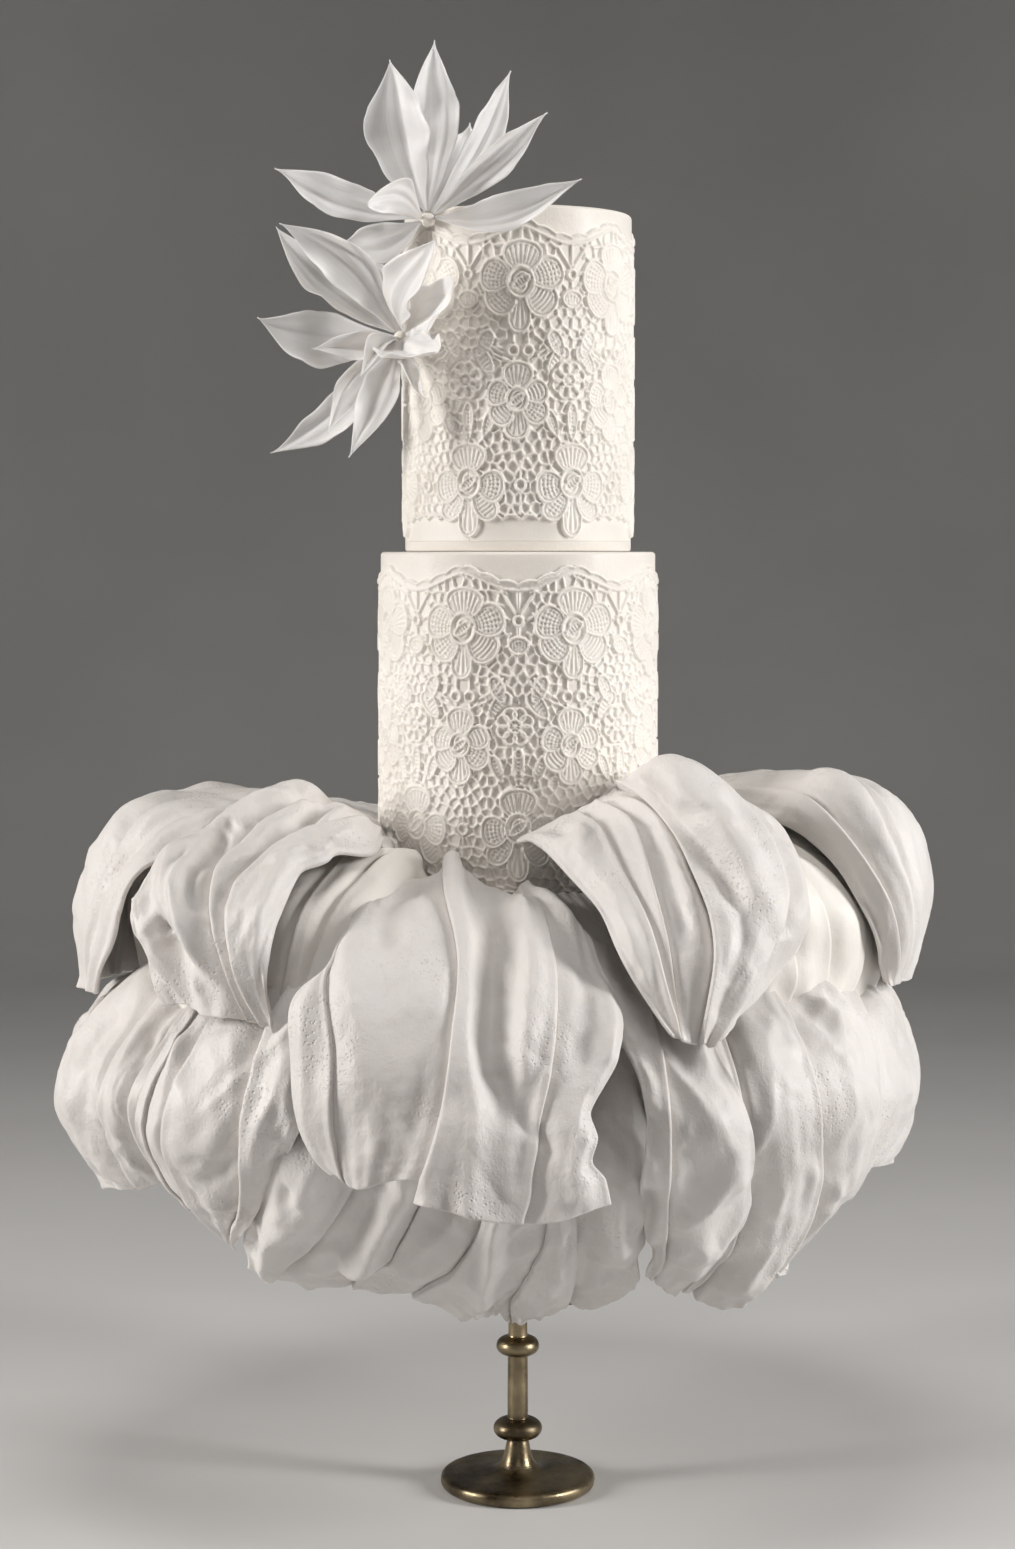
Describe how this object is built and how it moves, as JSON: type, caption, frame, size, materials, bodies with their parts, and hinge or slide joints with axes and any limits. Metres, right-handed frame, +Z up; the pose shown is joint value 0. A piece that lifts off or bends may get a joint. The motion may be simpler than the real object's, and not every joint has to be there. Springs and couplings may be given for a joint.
{
  "type": "tiered wedding cake",
  "caption": "Tall tiered wedding cake: two lace-covered barrels over a billowing skirt of pleated sugar sheets, side posies of long sheer petals, on a slim turned metal pedestal.",
  "frame": {"origin": "centre of the pedestal foot's flat underside", "axes": "+Z up along the barrels' axis, the posies' side of the front faces -Y, +X to the viewer's right"},
  "size_m": [0.514, 0.5078, 0.8585],
  "materials": {
    "brass": "aged turned brass, satin with bright worn edges",
    "sugarpaste": "rolled white sugarpaste, soft satin, faintly pitted",
    "sugar_lace": "ivory moulded sugar lace, matte",
    "petal": "thin sheer sugar petal, soft sheen"
  },
  "bodies": {
    "root": {"barrel_lower": "sugarpaste", "barrel_upper": "sugarpaste", "base_cake": "sugarpaste", "bud_side": "petal", "bud_top": "petal", "cape_front": "sugarpaste", "lace_lower": "sugar_lace", "lace_upper": "sugar_lace", "petal_side_a": "petal", "petal_side_b": "petal", "petal_side_c": "petal", "petal_side_d": "petal", "petal_side_e": "petal", "petal_side_f": "petal", "petal_side_g": "petal", "petal_side_h": "petal", "petal_side_i": "petal", "petal_side_j": "petal", "petal_side_k": "petal", "petal_side_l": "petal", "petal_side_m": "petal", "petal_top_a": "petal", "petal_top_b": "petal", "petal_top_c": "petal", "petal_top_d": "petal", "petal_top_e": "petal", "petal_top_f": "petal", "petal_top_g": "petal", "petal_top_h": "petal", "petal_top_i": "petal", "puff_back": "sugarpaste", "puff_back_left": "sugarpaste", "puff_back_right": "sugarpaste", "puff_left_back": "sugarpaste", "puff_left_front": "sugarpaste", "puff_right_back": "sugarpaste", "puff_right_front": "sugarpaste", "stand": "brass", "swag_back": "sugarpaste", "swag_back_left": "sugarpaste", "swag_back_right": "sugarpaste", "swag_front_low": "sugarpaste", "swag_left": "sugarpaste", "swag_left_back": "sugarpaste", "swag_right": "sugarpaste", "swag_right_front": "sugarpaste"}
  },
  "joints": []
}
